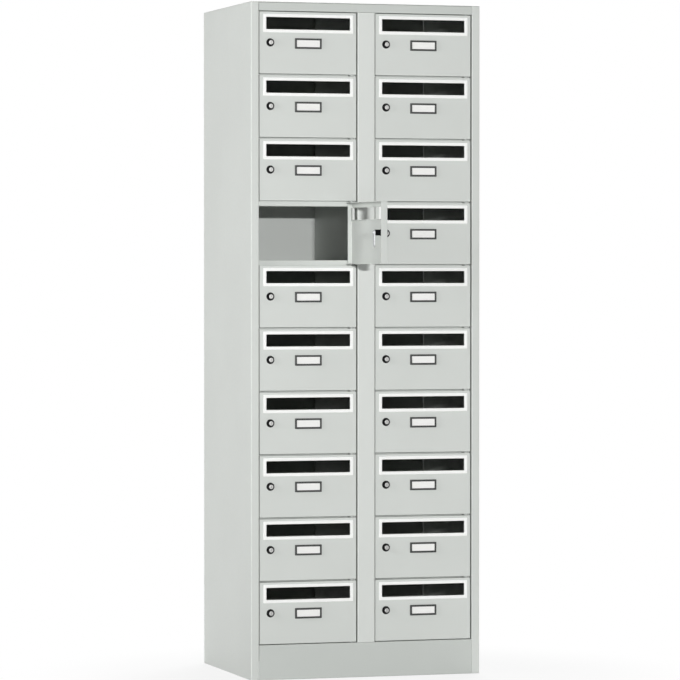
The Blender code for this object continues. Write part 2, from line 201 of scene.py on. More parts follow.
key_lamp = lamp("key_lamp", KEY_TURN, KEY_RISE, KEY_AWAY, KEY_SIZE, KEY_WATTS)
fill_lamp = lamp("fill_lamp", FILL_TURN, FILL_RISE, FILL_AWAY, FILL_SIZE, FILL_WATTS)
back_lamp = lamp("back_lamp", BACK_TURN, BACK_RISE, BACK_AWAY, BACK_SIZE, BACK_WATTS)
for stand in (key_lamp, fill_lamp, back_lamp):
    print(stand.name, "at", [round(v, 2) for v in stand.location])

# %% [markdown]
# ## The floor
# The floor is a wide pale disc. Close to the cabinet a little of its matt surface shows, enough to take a
# soft shadow, and further out it fades into the white of the room, so that no horizon shows.

# %% Lay the floor
FLOOR_RADIUS, FLOOR_SIDES = 14.0, 64
FLOOR_TONE, FLOOR_ROUGHNESS = (0.5, 0.5, 0.5, 1), 0.9
FADE_START, FADE_END = 0.45, 1.0
FADE_LEAST = 0.85
FLOOR_GAP = 0.0005

bm = bmesh.new()
bmesh.ops.create_circle(bm, cap_ends=True, segments=FLOOR_SIDES, radius=FLOOR_RADIUS)
bmesh.ops.translate(bm, verts=bm.verts, vec=(0, 0, cad_box[0].z - FLOOR_GAP))
floor_mesh = bpy.data.meshes.new("floor")
bm.to_mesh(floor_mesh)
bm.free()
floor = bpy.data.objects.new("floor", floor_mesh)
scene.collection.objects.link(floor)
pale_floor = bpy.data.materials.new("pale_floor")
pale_floor.use_nodes = True
tree = pale_floor.node_tree
matt = tree.nodes["Principled BSDF"]
matt.inputs["Base Color"].default_value = FLOOR_TONE
matt.inputs["Roughness"].default_value = FLOOR_ROUGHNESS
place = tree.nodes.new("ShaderNodeTexCoord")
away = tree.nodes.new("ShaderNodeVectorMath")
away.operation = "LENGTH"
fade = tree.nodes.new("ShaderNodeMapRange")
fade.interpolation_type = "SMOOTHSTEP"
fade.inputs["From Min"].default_value = FADE_START
fade.inputs["From Max"].default_value = FADE_END
fade.inputs["To Min"].default_value = FADE_LEAST
far = tree.nodes.new("ShaderNodeMath")
far.operation = "MULTIPLY"
glow = tree.nodes.new("ShaderNodeEmission")
blend = tree.nodes.new("ShaderNodeMixShader")
tree.links.new(place.outputs["Object"], away.inputs[0])
tree.links.new(away.outputs["Value"], fade.inputs["Value"])
tree.links.new(fade.outputs["Result"], far.inputs[0])
tree.links.new(seen_directly(tree), far.inputs[1])
tree.links.new(far.outputs[0], blend.inputs["Fac"])
tree.links.new(matt.outputs[0], blend.inputs[1])
tree.links.new(glow.outputs[0], blend.inputs[2])
tree.links.new(blend.outputs[0], tree.nodes["Material Output"].inputs["Surface"])
floor_mesh.materials.append(pale_floor)
print("floor", 2 * FLOOR_RADIUS, "m across")

# %% [markdown]
# ## Finishes
# Every finish is a Principled shader whose colour, roughness and bump are varied by noise that reads
# Object coordinates, so a pattern keeps its size in metres on every piece. A helper wires one noise to
# one socket, and each finish below is then a short list of what varies and by how much.

# %% Helpers for finishes
# most of the noise lies between these two values
PATCH_LOW, PATCH_HIGH = 0.3, 0.7


def new_finish(name, metallic, roughness, specular=0.5):
    """A material with its constant values set on the shader. Returns it with its node tree and shader."""
    material = bpy.data.materials.new(name)
    material.use_nodes = True
    tree = material.node_tree
    shader = tree.nodes["Principled BSDF"]
    shader.inputs["Metallic"].default_value = metallic
    shader.inputs["Roughness"].default_value = roughness
    shader.inputs["Specular IOR Level"].default_value = specular
    return material, tree, shader


def noise(tree, scale, detail=2.0, stretch=(1, 1, 1)):
    """Noise whose scale counts its patches along a metre. Stretch draws them out along an axis."""
    place = tree.nodes.new("ShaderNodeTexCoord")
    mapping = tree.nodes.new("ShaderNodeMapping")
    mapping.inputs["Scale"].default_value = stretch
    pattern = tree.nodes.new("ShaderNodeTexNoise")
    pattern.inputs["Scale"].default_value = scale
    pattern.inputs["Detail"].default_value = detail
    tree.links.new(place.outputs["Object"], mapping.inputs["Vector"])
    tree.links.new(mapping.outputs["Vector"], pattern.inputs["Vector"])
    return pattern.outputs["Fac"]


def vary_colour(tree, shader, pattern, dark, light):
    """Runs the base colour from dark to light as the pattern goes from its low to its high patches."""
    ramp = tree.nodes.new("ShaderNodeValToRGB")
    first, last = ramp.color_ramp.elements
    first.position, last.position = PATCH_LOW, PATCH_HIGH
    first.color, last.color = (*dark, 1), (*light, 1)
    tree.links.new(pattern, ramp.inputs["Fac"])
    tree.links.new(ramp.outputs["Color"], shader.inputs["Base Color"])
    return ramp.outputs["Color"]


def vary_roughness(tree, shader, pattern, low, high):
    """Runs the roughness from low to high with the pattern."""
    spread = tree.nodes.new("ShaderNodeMapRange")
    spread.inputs["From Min"].default_value = PATCH_LOW
    spread.inputs["From Max"].default_value = PATCH_HIGH
    spread.inputs["To Min"].default_value = low
    spread.inputs["To Max"].default_value = high
    tree.links.new(pattern, spread.inputs["Value"])
    tree.links.new(spread.outputs["Result"], shader.inputs["Roughness"])


def add_bump(tree, shader, pattern, strength, height):
    """Raises the pattern's high patches by this height in metres."""
    bump = tree.nodes.new("ShaderNodeBump")
    bump.inputs["Strength"].default_value = strength
    bump.inputs["Distance"].default_value = height
    tree.links.new(pattern, bump.inputs["Height"])
    tree.links.new(bump.outputs["Normal"], shader.inputs["Normal"])


def shade(colour, factor):
    """A colour made lighter or darker by a factor."""
    return tuple(channel * factor for channel in colour)


print("finish helpers ready")

# %% [markdown]
# ### Powder coat
# The steel is powder coated: the powder melts into a satin skin with a fine orange peel, about a
# millimetre from bump to bump. Its tone drifts very slightly over a panel. Along the ridge of a fold the
# colour is paler, in small broken patches, which is a painted highlight. The folds are marked on
# the mesh when they are made, and the finish reads that mark. The rail and the plinth are a shade darker
# than the doors, as painted shade; the panels inside are a shade darker too, as painted shade inside the
# boxes; and the centre stile is a shade lighter, as painted light.

# %% Powder coat
DOOR_GREY = (0.625, 0.650, 0.622)
# the centre stile's grey is the door grey made lighter: painted light
STILE_GREY_PAINTED_LIGHT = (0.668, 0.692, 0.664)
# the rail and plinth grey is the door grey made darker: painted shade
RAIL_GREY_PAINTED_SHADE = (0.545, 0.572, 0.545)
# the grey inside the boxes is the coat made darker: painted shade inside the boxes
INNER_GREY_PAINTED_SHADE = (0.52, 0.54, 0.52)
RIDGE = "ridge"
# the paler tone along the fold ridges is a painted highlight
RIDGE_PAINTED_HIGHLIGHT = 1.12
TONE_DRIFT = 0.015


def paint_ridge_highlight(tree, shader, coat, tone):
    """Fades the coat's colour to a paler tone along the marked ridges, in small broken patches: a painted
    highlight on the folds.
    """
    mark = tree.nodes.new("ShaderNodeAttribute")
    mark.attribute_name = RIDGE
    patches = tree.nodes.new("ShaderNodeMath")
    patches.operation = "MULTIPLY"
    fade = tree.nodes.new("ShaderNodeMixRGB")
    fade.inputs["Color2"].default_value = (*tone, 1)
    tree.links.new(mark.outputs["Fac"], patches.inputs[0])
    tree.links.new(noise(tree, scale=45.0, detail=3.0), patches.inputs[1])
    tree.links.new(patches.outputs[0], fade.inputs["Fac"])
    tree.links.new(coat, fade.inputs["Color1"])
    tree.links.new(fade.outputs["Color"], shader.inputs["Base Color"])


def powder_coat(name, grey):
    """A satin coat of this grey, that drifts in tone, has a painted highlight along its folds and has an
    orange peel.
    """
    material, tree, shader = new_finish(name, metallic=0.0, roughness=0.45, specular=0.4)
    dark, light = shade(grey, 1 - TONE_DRIFT), shade(grey, 1 + TONE_DRIFT)
    coat = vary_colour(tree, shader, noise(tree, scale=5.0), dark, light)
    paint_ridge_highlight(tree, shader, coat, shade(grey, RIDGE_PAINTED_HIGHLIGHT))
    vary_roughness(tree, shader, noise(tree, scale=180.0), low=0.40, high=0.52)
    add_bump(tree, shader, noise(tree, scale=900.0, detail=1.0), strength=0.25, height=0.00012)
    return material


door_coat = powder_coat("light_grey_powder_coat", DOOR_GREY)
stile_coat_painted_light = powder_coat("pale_grey_coat_painted_light", STILE_GREY_PAINTED_LIGHT)
rail_coat_painted_shade = powder_coat("mid_grey_coat_painted_shade", RAIL_GREY_PAINTED_SHADE)
inner_coat_painted_shade = powder_coat("inner_grey_coat_painted_shade", INNER_GREY_PAINTED_SHADE)
print("powder coats", [coat.name for coat in (door_coat, stile_coat_painted_light, rail_coat_painted_shade, inner_coat_painted_shade)])

# %% [markdown]
# ### Plastic and card
# The slot trims are off-white plastic with a faint moulded grain, and the label frames are the same
# plastic in a grey that is nearly black. The label cards are thin bare board, with short fibres that lie
# along the card.

# %% Plastic and card
TRIM_WHITE = (0.95, 0.96, 0.94)
FRAME_GREY = (0.024, 0.026, 0.025)
CARD_WHITE = (0.93, 0.93, 0.91)


def moulded_plastic(name, tone, roughness):
    """A plastic of this tone with a faint grain."""
    material, tree, shader = new_finish(name, metallic=0.0, roughness=roughness, specular=0.45)
    vary_colour(tree, shader, noise(tree, scale=40.0), dark=shade(tone, 0.97), light=tone)
    vary_roughness(tree, shader, noise(tree, scale=300.0), low=roughness - 0.05, high=roughness + 0.06)
    add_bump(tree, shader, noise(tree, scale=1600.0), strength=0.2, height=0.00006)
    return material


def bare_card(name, tone):
    """Board of this tone, with fibres along its length."""
    material, tree, shader = new_finish(name, metallic=0.0, roughness=0.85, specular=0.2)
    fibres = noise(tree, scale=900.0, detail=4.0, stretch=(0.15, 1, 1))
    vary_colour(tree, shader, fibres, dark=shade(tone, 0.95), light=tone)
    add_bump(tree, shader, fibres, strength=0.3, height=0.00008)
    return material


trim_plastic = moulded_plastic("off_white_plastic", TRIM_WHITE, roughness=0.42)
frame_plastic = moulded_plastic("dark_grey_plastic", FRAME_GREY, roughness=0.38)
card_board = bare_card("white_card", CARD_WHITE)
print("plastics and card", trim_plastic.name, frame_plastic.name, card_board.name)

# %% [markdown]
# ### Metals of the lock and the hinges
# The lock's bezel, barrel and nut are near-black zinc, almost without a reflection. On the bezel the
# near-black is painted shade, for the dark flank on the left of each lock. The plug in the bezel is
# plain brushed nickel, so that its face stands out as a light disc. The cam and the hinge pins are zinc
# plated, a dull and slightly mottled grey.

# %% Metals
# near black: on the bezel this is painted shade for the lock's dark flank
BLACK_ZINC_AND_PAINTED_SHADE = (0.010, 0.010, 0.011)
NICKEL = (0.33, 0.33, 0.323)
ZINC = (0.58, 0.59, 0.60)


def metal(name, tone, roughness, mottle, patch):
    """A metal whose tone is mottled by this share, in patches counted along a metre."""
    material, tree, shader = new_finish(name, metallic=1.0, roughness=roughness)
    vary_colour(tree, shader, noise(tree, patch), shade(tone, 1 - mottle), shade(tone, 1 + mottle))
    vary_roughness(tree, shader, noise(tree, 4 * patch), low=roughness - 0.06, high=roughness + 0.08)
    add_bump(tree, shader, noise(tree, scale=2500.0), strength=0.15, height=0.00004)
    return material


# the bezel's near-black is painted shade; the barrel and nut share it
black_zinc_and_painted_shade = metal("near_black_zinc_and_painted_shade", BLACK_ZINC_AND_PAINTED_SHADE, roughness=0.45, mottle=0.15, patch=200.0)
nickel = metal("brushed_nickel", NICKEL, roughness=0.35, mottle=0.06, patch=250.0)
zinc = metal("zinc_plate", ZINC, roughness=0.55, mottle=0.08, patch=160.0)
print("metals", black_zinc_and_painted_shade.name, nickel.name, zinc.name)

# %% [markdown]
# ## How a piece is finished
# A shape is modelled once as a bmesh and turned into a mesh. Its round stretches are shaded smooth and
# its true edges stay sharp, and a Weighted Normal modifier keeps the big flat faces from bending the
# light near a small fold. A copy of the mesh then gets its place, because a finished piece's object
# sits at the origin, and rides on the body that carries it.

# %% Helpers for finished pieces
SHARP_EDGE = math.radians(32)
pieces_made = []


def new_shape():
    """An empty bmesh, with a layer in which the ridges of folds are marked."""
    bm = bmesh.new()
    bm.verts.layers.float.new(RIDGE)
    return bm


def shape_mesh(name, bm):
    """The finished mesh of a bmesh, shaded smooth between its sharp edges."""
    mesh = bpy.data.meshes.new(name)
    bm.to_mesh(mesh)
    bm.free()
    mesh.shade_smooth()
    mesh.set_sharp_from_angle(angle=SHARP_EDGE)
    return mesh


def set_piece(name, shape, finish, body, stands_for=(), place=Matrix.Identity(4)):
    """Sets a copy of a shape in its place as a piece that rides on a body."""
    mesh = shape.copy()
    mesh.name = name
    mesh.transform(place)
    mesh.materials.append(finish)
    piece = bpy.data.objects.new(name, mesh)
    scene.collection.objects.link(piece)
    even = piece.modifiers.new("even_shading", "WEIGHTED_NORMAL")
    even.keep_sharp = True
    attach(piece, body)
    if stands_for:
        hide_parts(*stands_for)
    pieces_made.append(name)
    return piece


print("edges steeper than", round(math.degrees(SHARP_EDGE)), "degrees stay sharp")

# %% [markdown]
# ## Folded sheet
# Nearly all of the case is one-millimetre sheet, folded on a press. A fold leaves a rounded outside
# edge, which catches the light as a thin line, and that line is what tells the eye that this is sheet
# steel. So a folded piece starts as its outline in section, a few points joined by edges. The outline
# is extruded to its length, its folds are bevelled round, and solidify gives the sheet its thickness.

# %% Helpers for folded sheet
HAIR = 1e-6
SHEET = 0.001
FOLD = 0.0022
FOLD_STEPS = 4


def mm(length):
    """A length in millimetres, to print."""
    return round(length * 1000, 1)


def round_edges(bm, edges, offset, steps):
    """Rounds these edges. Returns the faces of the rounds."""
    return bmesh.ops.bevel(
        bm, geom=list(edges), offset=offset, segments=steps, profile=0.5, affect="EDGES", material=-1
    )["faces"]


def fold_edges(bm, edges, offset):
    """Rounds the folds of a sheet, and marks the ridge of each, where the coat gets its painted highlight.
    """
    rounds = set(round_edges(bm, edges, offset, FOLD_STEPS))
    ridge = bm.verts.layers.float[RIDGE]
    for vert in {vert for face in rounds for vert in face.verts}:
        if rounds.issuperset(vert.link_faces):
            vert[ridge] = 1.0


def draw_out(bm, edges, step):
    """Draws a strip of new faces out of these edges. Returns the edges at its far side."""
    made = bmesh.ops.extrude_edge_only(bm, edges=edges)["geom"]
    verts = {part for part in made if isinstance(part, bmesh.types.BMVert)}
    bmesh.ops.translate(bm, verts=list(verts), vec=step)
    drawn = [part for part in made if isinstance(part, bmesh.types.BMEdge)]
    return [edge for edge in drawn if verts.issuperset(edge.verts)]


def thicken(bm, outward, thickness):
    """Turns the skin of a sheet to look outward, and gives it its thickness on the other side."""
    bmesh.ops.recalc_face_normals(bm, faces=bm.faces)
    outward = Vector(outward)
    furthest = max(face.calc_center_median().dot(outward) for face in bm.faces)
    leaders = [face for face in bm.faces if face.calc_center_median().dot(outward) > furthest - HAIR]
    if max(leaders, key=lambda face: face.calc_area()).normal.dot(outward) < 0:
        bmesh.ops.reverse_faces(bm, faces=bm.faces)
    bmesh.ops.solidify(bm, geom=bm.faces[:], thickness=thickness)


def folded_sheet(section, along, outward):
    """A sheet with this section, extruded along a vector, its outer skin looking outward."""
    bm = new_shape()
    points = [bm.verts.new(point) for point in section]
    edges = [bm.edges.new(pair) for pair in zip(points, points[1:])]
    draw_out(bm, edges, along)
    bmesh.ops.recalc_face_normals(bm, faces=bm.faces)
    fold_edges(bm, [edge for edge in bm.edges if len(edge.link_faces) == 2], FOLD)
    thicken(bm, outward, SHEET)
    return bm


print("sheet", mm(SHEET), "mm, folds", mm(FOLD), "mm outside")

# %% [markdown]
# ## The sides of the case
# Each side and its front stile are one sheet: it runs along the side, turns the front corner, and
# turns back in at the door opening. Made from its section, the sheet gets both folds in one go, and the
# front corner has no seam, which a separate side and stile would show.

# %% Sides and stiles
left_side, right_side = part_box("left_side_panel"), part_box("right_side_panel")
left_stile, right_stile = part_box("left_stile"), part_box("right_stile")
front, back = left_side[0].y, left_side[1].y
case_height = left_side[1].z - left_side[0].z
flange = left_stile[1].y
for name, outer, inner, turn in (
    ("left", left_side[0].x, left_stile[1].x, -1),
    ("right", right_side[1].x, right_stile[0].x, 1),
):
    section = [(outer, back, 0), (outer, front, 0), (inner, front, 0), (inner, flange, 0)]
    bm = folded_sheet(section, (0, 0, case_height), (turn, 0, 0))
    nodes = (f"{name}_side_panel", f"{name}_stile")
    set_piece(f"{name}_side_and_stile", shape_mesh(f"{name}_side", bm), door_coat, "case", nodes)
print("sides", round(back - front, 3), "m deep and", round(case_height, 3), "m high")

# %% [markdown]
# ## The centre stile
# Between the two columns stands an upright channel, open to the back. The doors of the right column
# lock behind its edge. It is the same kind of section as the sides, with two folds.

# %% Centre stile
middle_low, middle_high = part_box("centre_stile")
section = [
    (middle_low.x, middle_high.y, middle_low.z),
    (middle_low.x, middle_low.y, middle_low.z),
    (middle_high.x, middle_low.y, middle_low.z),
    (middle_high.x, middle_high.y, middle_low.z),
]
bm = folded_sheet(section, (0, 0, middle_high.z - middle_low.z), (0, -1, 0))
shape = shape_mesh("centre_stile", bm)
# the stile takes the lighter copy of the door coat, painted light
set_piece("centre_stile_channel", shape, stile_coat_painted_light, "case", ("centre_stile",))
print("centre stile", mm(middle_high.x - middle_low.x), "mm wide")

# %% [markdown]
# ## The rail over the doors, and the plinth
# The rail is a channel that lies on its side. The plinth is a taller one, and its lower flange turns
# under as a foot, so that the cabinet stands on a flat strip and not on a raw edge. Both run across the
# front between the side stiles, so their section is drawn upright and extruded sideways.

# %% Rail and plinth
PLINTH_FOOT = 0.030
SEAM = 0.0003

rail_low, rail_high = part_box("header_rail")
rail_bottom = middle_high.z + SEAM
plinth_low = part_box("plinth_front")[0]
plinth_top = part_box("bottom_panel")[1].z
start = rail_low.x
rail_section = [
    (start, rail_high.y, rail_high.z),
    (start, rail_low.y, rail_high.z),
    (start, rail_low.y, rail_bottom),
    (start, rail_high.y, rail_bottom),
]
plinth_section = [
    (start, flange, plinth_top),
    (start, plinth_low.y, plinth_top),
    (start, plinth_low.y, plinth_low.z),
    (start, plinth_low.y + PLINTH_FOOT, plinth_low.z),
]
for name, section, node in (
    ("header_rail", rail_section, "header_rail"),
    ("plinth", plinth_section, "plinth_front"),
):
    bm = folded_sheet(section, (rail_high.x - start, 0, 0), (0, -1, 0))
    # the rail and the plinth take the darker copy of the coat, painted shade
    set_piece(f"{name}_channel", shape_mesh(name, bm), rail_coat_painted_shade, "case", (node,))
print("rail", mm(rail_high.z - rail_bottom), "mm high, plinth", mm(plinth_top), "mm")

# %% [markdown]
# ## Holes in a flat face
# Slots, lock holes, pin holes and weld marks all need an outline inside a flat face. The outline is made
# first: a circle, or a rectangle whose corners are bevelled round. Then the flat face is taken out, and
# triangle fill lays it anew between its border and the outlines. It keeps the outlines open whatever
# their number, which bridging one loop to another does not. A face can then be stepped in from its
# outline by insets, each a little further in and a little further back.

# %% Helpers for holes
CORNER_STEPS = 4


def rectangle(bm, low, high, level):
    """An upright rectangle at this depth, that looks forward. Returns its points."""
    middle = Vector(((low[0] + high[0]) / 2, level, (low[1] + high[1]) / 2))
    size = Vector((high[0] - low[0], high[1] - low[1], 1))
    place = Matrix.LocRotScale(middle, Euler((math.radians(90), 0, 0)), size)
    return bmesh.ops.create_grid(bm, x_segments=1, y_segments=1, size=0.5, matrix=place)["verts"]


def round_corners(bm, corners, radius, steps=CORNER_STEPS):
    """Rounds the corners of a flat face. Returns the face."""
    made = bmesh.ops.bevel(
        bm, geom=list(corners), offset=radius, segments=steps, profile=0.5, affect="VERTICES", material=-1
    )
    return made["verts"][0].link_faces[0]


def disc(bm, centre, radius, sides, facing):
    """A round face that looks this way."""
    turn = Vector(facing).to_track_quat("Z", "Y").to_matrix().to_4x4()
    place = Matrix.Translation(centre) @ turn
    made = bmesh.ops.create_circle(bm, cap_ends=True, segments=sides, radius=radius, matrix=place)
    return made["verts"][0].link_faces[0]


def fill_round(bm, face, outlines):
    """Lays a flat face anew, round the outlines of these other faces."""
    edges = [edge for each in (face, *outlines) for edge in each.edges]
    bmesh.ops.delete(bm, geom=[face], context="FACES_ONLY")
    bmesh.ops.triangle_fill(bm, use_beauty=True, edges=edges)


def step_in(bm, face, steps):
    """Insets a face by each (inward, forward) step in turn."""
    for inward, forward in steps:
        bmesh.ops.inset_region(
            bm, faces=[face], thickness=inward, depth=forward, use_boundary=True, use_even_offset=True
        )


def round_over(radius, steps=3):
    """Steps that lead round an outer edge, from straight forward to flat."""
    turns = [math.pi / 2 * k / steps for k in range(steps + 1)]
    return [
        (radius * (math.cos(a) - math.cos(b)), radius * (math.sin(b) - math.sin(a)))
        for a, b in zip(turns, turns[1:])
    ]


def round_back(radius, steps=3):
    """Steps that lead round an inner edge, from flat to straight back."""
    return [(forward, -inward) for inward, forward in round_over(radius, steps)]


print("corners take", CORNER_STEPS, "steps")

# %% [markdown]
# ## The flat sheets
# The top lies on the case as a flat sheet, with its edges just broken. The back is spot welded to the
# shelves, and each weld leaves a small round dent. The dents are real geometry here, because a low light
# along the back would show that a painted dent has no depth. The floor of the lowest boxes and the
# partition between the columns have nothing to add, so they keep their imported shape.

# %% Top, back, bottom and partition
EDGE_BREAK, EDGE_STEPS = 0.0003, 2
WELD_RADIUS = 0.003
WELD_SIDES = 16
WELD_STEPS = [(0.0005, -0.00012), (0.0007, -0.00008), (0.0006, -0.00002)]
WELD_PLACES = (-0.285, -0.160, -0.035, 0.035, 0.160, 0.285)
shelf_nodes = sorted(node for node in frame["nodes"] if node.startswith("shelf_"))


def flat_sheet(node):
    """A flat sheet as large as a node, its edges broken."""
    low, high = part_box(node)
    bm = new_shape()
    bmesh.ops.create_cube(bm, size=1, matrix=Matrix.LocRotScale((low + high) / 2, None, high - low))
    round_edges(bm, bm.edges, EDGE_BREAK, EDGE_STEPS)
    return bm


bm = flat_sheet("top_panel")
set_piece("top_sheet", shape_mesh("top_sheet", bm), door_coat, "case", ("top_panel",))
bm = flat_sheet("back_panel")
rear = max(bm.faces, key=lambda face: face.calc_center_median().y)
level = rear.calc_center_median().y
rows = [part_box(node)[1].z - SHEET / 2 for node in shelf_nodes]
welds = [
    disc(bm, (x, level, z), WELD_RADIUS, WELD_SIDES, (0, 1, 0)) for z in rows for x in WELD_PLACES
]
fill_round(bm, rear, welds)
for weld in welds:
    step_in(bm, weld, WELD_STEPS)
bmesh.ops.recalc_face_normals(bm, faces=bm.faces)
# the back sheet takes the darker inner grey, painted shade inside the boxes
set_piece("back_sheet", shape_mesh("back_sheet", bm), inner_coat_painted_shade, "case", ("back_panel",))
# the bottom panel and the partition take the same painted shade
for node in ("bottom_panel", "centre_partition"):
    frame["nodes"][node].material_slots[0].material = inner_coat_painted_shade
print("flat sheets done,", len(welds), "weld marks on the back")

# %% [markdown]
# ## The shelves
# A shelf is a sheet that runs the full width behind the stiles, and is slit at the back where it crosses
# the partition. In each column its front edge is folded down and back under itself, which makes the
# stiff lip that the doors close in front of. A grid of one face gives the floor, straight cuts divide it
# at the openings and the slit, and the front edges are drawn forward, down and back. Two round-nosed
# lugs are welded to the lips, and they carry the hinge pins. The helpers for cuts, folds and lugs come
# first.

# %% Helpers for shelves
LIP_SETBACK = 0.003
LUG_RADIUS = 0.0055
LUG_THICKNESS = 0.0018
LUG_STEPS = 6
STEEP = math.radians(60)
# a round that took up the whole of an end would leave doubled points, so it takes this share
ROUND_SHARE = 0.98
lip_front = flange - LIP_SETBACK
hinge_lines = sorted({tuple(swing["pos_m"][:2]) for swing in swings.values()})


def cut(bm, place, normal):
    """Cuts all faces along a plane."""
    parts = bm.verts[:] + bm.edges[:] + bm.faces[:]
    bmesh.ops.bisect_plane(bm, geom=parts, plane_co=place, plane_no=normal)


def steep_edges(bm):
    """The edges where two faces meet at a steep angle."""
    bmesh.ops.recalc_face_normals(bm, faces=bm.faces)
    return [edge for edge in bm.edges if len(edge.link_faces) == 2 and edge.calc_face_angle() > STEEP]


def add_lug(bm, hinge, level):
    """A tongue with a round nose, from inside the lip to just past the hinge axis."""
    nose, root = hinge[1] - LUG_RADIUS, lip_front + SHEET / 2
    size = Vector((2 * LUG_RADIUS, root - nose, LUG_THICKNESS))
    place = Matrix.LocRotScale(Vector((hinge[0], (nose + root) / 2, level)), None, size)
    verts = bmesh.ops.create_cube(bm, size=1, matrix=place)["verts"]
    upright = {
        edge
        for vert in verts
        for edge in vert.link_edges
        if vert.co.y < hinge[1] and abs(edge.verts[0].co.z - edge.verts[1].co.z) > HAIR
    }
    round_edges(bm, upright, ROUND_SHARE * LUG_RADIUS, LUG_STEPS)


print("lugs on", len(hinge_lines), "hinge lines,", mm(LUG_THICKNESS), "mm thick")

# %% [markdown]
# ### The trays
# Every shelf has the same plan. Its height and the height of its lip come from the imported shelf.

# %% Shelves
LIP_RETURN = 0.012
openings = [
    (left_stile[1].x + SEAM, middle_low.x - SEAM),
    (middle_high.x + SEAM, right_stile[0].x - SEAM),
]


def shelf(low, high):
    """A shelf between these corners of its box, with its lips and lugs."""
    bm = new_shape()
    notch = flange + SEAM
    slit, crossing = SHEET / 2 + SEAM, (lip_front + back) / 2
    middle = Vector(((low.x + high.x) / 2, (notch + high.y) / 2, high.z))
    place = Matrix.LocRotScale(middle, None, Vector((high.x - low.x, high.y - notch, 1)))
    bmesh.ops.create_grid(bm, x_segments=1, y_segments=1, size=0.5, matrix=place)
    for x in (*openings[0], -slit, slit, *openings[1]):
        cut(bm, (x, 0, 0), (1, 0, 0))
    cut(bm, (0, crossing, 0), (0, 1, 0))
    middles = {face: face.calc_center_median() for face in bm.faces}
    gone = [face for face, at in middles.items() if abs(at.x) < slit and at.y > crossing]
    bmesh.ops.delete(bm, geom=gone, context="FACES")
    edges = [
        edge
        for edge in bm.edges
        if all(vert.co.y < notch + HAIR for vert in edge.verts)
        and any(start < (edge.verts[0].co.x + edge.verts[1].co.x) / 2 < end for start, end in openings)
    ]
    for step in ((0, lip_front - notch, 0), (0, 0, low.z - high.z), (0, LIP_RETURN, 0)):
        edges = draw_out(bm, edges, step)
    fold_edges(bm, steep_edges(bm), FOLD)
    thicken(bm, (0, 0, 1), SHEET)
    for hinge in hinge_lines:
        add_lug(bm, hinge, (low.z + high.z) / 2)
    return bm


for node in shelf_nodes:
    shape = shape_mesh(node, shelf(*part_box(node)))
    set_piece(f"{node}_tray", shape, door_coat, "case", (node,))
print(len(shelf_nodes), "shelves, each with", len(shape.polygons), "faces")

# %% [markdown]
# ## The stops under the rail
# The doors of the top row close against a lip too. It is a short channel under the rail in each column,
# as deep as a shelf's lip, and it keeps light from falling over the top of the door into the box. It has
# the section of the rail, only smaller, so the same helper folds it.

# %% Stops under the rail
stop_drop = (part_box(shelf_nodes[0])[1].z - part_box(shelf_nodes[0])[0].z) / 2
stop_top, stop_back = rail_bottom - SEAM, lip_front + LIP_RETURN
for side, (start, end) in zip(("left", "right"), openings):
    section = [
        (start, stop_back, stop_top),
        (start, lip_front, stop_top),
        (start, lip_front, stop_top - stop_drop),
        (start, stop_back, stop_top - stop_drop),
    ]
    bm = folded_sheet(section, (end - start, 0, 0), (0, -1, 0))
    set_piece(f"{side}_rail_stop", shape_mesh("rail_stop", bm), door_coat, "case")
print("stops reach", mm(stop_drop), "mm below the rail")

# %% [markdown]
# ## The hinge pins
# A door has no visible hinge. It turns on two short zinc-plated pins at its right-hand edge, one
# through its top flange and one through its bottom flange. A pin is a turned profile with a chamfer at
# each end, so it is spun about its axis. They are fixed to the lugs, the rail and the plinth.

# %% Hinge pins
PIN_RADIUS = 0.002
PIN_REACH = 0.006
PIN_CHAMFER = 0.0004
PIN_SIDES = 20


def turn_round(bm, points, centre, axis, sides):
    """Spins a profile once round an axis."""
    verts = [bm.verts.new(point) for point in points]
    edges = [bm.edges.new(pair) for pair in zip(verts, verts[1:])]
    bmesh.ops.spin(
        bm, geom=verts + edges, cent=centre, axis=axis, angle=2 * math.pi, steps=sides, use_merge=True
    )
    bmesh.ops.remove_doubles(bm, verts=bm.verts, dist=HAIR)
    bmesh.ops.recalc_face_normals(bm, faces=bm.faces)


levels = [(low.z + high.z) / 2 for low, high in map(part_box, shelf_nodes)] + [rail_bottom, plinth_top]
bm = new_shape()
for hinge in hinge_lines:
    for level in levels:
        bottom = level if level == plinth_top else level - PIN_REACH
        top = level if level == rail_bottom else level + PIN_REACH
        tip = PIN_RADIUS - PIN_CHAMFER
        profile = [
            (0, bottom),
            (tip, bottom),
            (PIN_RADIUS, bottom + PIN_CHAMFER),
            (PIN_RADIUS, top - PIN_CHAMFER),
            (tip, top),
            (0, top),
        ]
        points = [(hinge[0] + radius, hinge[1], z) for radius, z in profile]
        turn_round(bm, points, (*hinge, 0), (0, 0, 1), PIN_SIDES)
set_piece("hinge_pins", shape_mesh("hinge_pins", bm), zinc, "case")
print(len(levels) * len(hinge_lines), "hinge pins")

# %% [markdown]
# ## The door's pan
# A door is a shallow pan: a face with its edges folded back, the hinge side a little less deep so that
# it clears the stile as it swings. The pan is drawn about the hinge axis. It starts as a box without its
# back. One slanting cut takes off the hinge side's rear corner, and all the folds are rounded together,
# so that the corners of the pan come out closed, as on a deep-drawn or welded one.

# %% Box of the pan
DOOR_DEPTH = 0.018
HINGE_FLANGE = 0.012
DOOR_FOLD = 0.0016
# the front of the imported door's box is its lock bezel, which stands this far in front of the face
PACKED_BEZEL = 0.0022

hinge = Vector(swings["R01"]["pos_m"])
low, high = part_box("door_R01")
door_left, door_right, door_height = low.x - hinge.x, high.x - hinge.x, high.z - low.z
door_face = low.y + PACKED_BEZEL - hinge.y
door_back, hinge_back = door_face + DOOR_DEPTH, door_face + HINGE_FLANGE


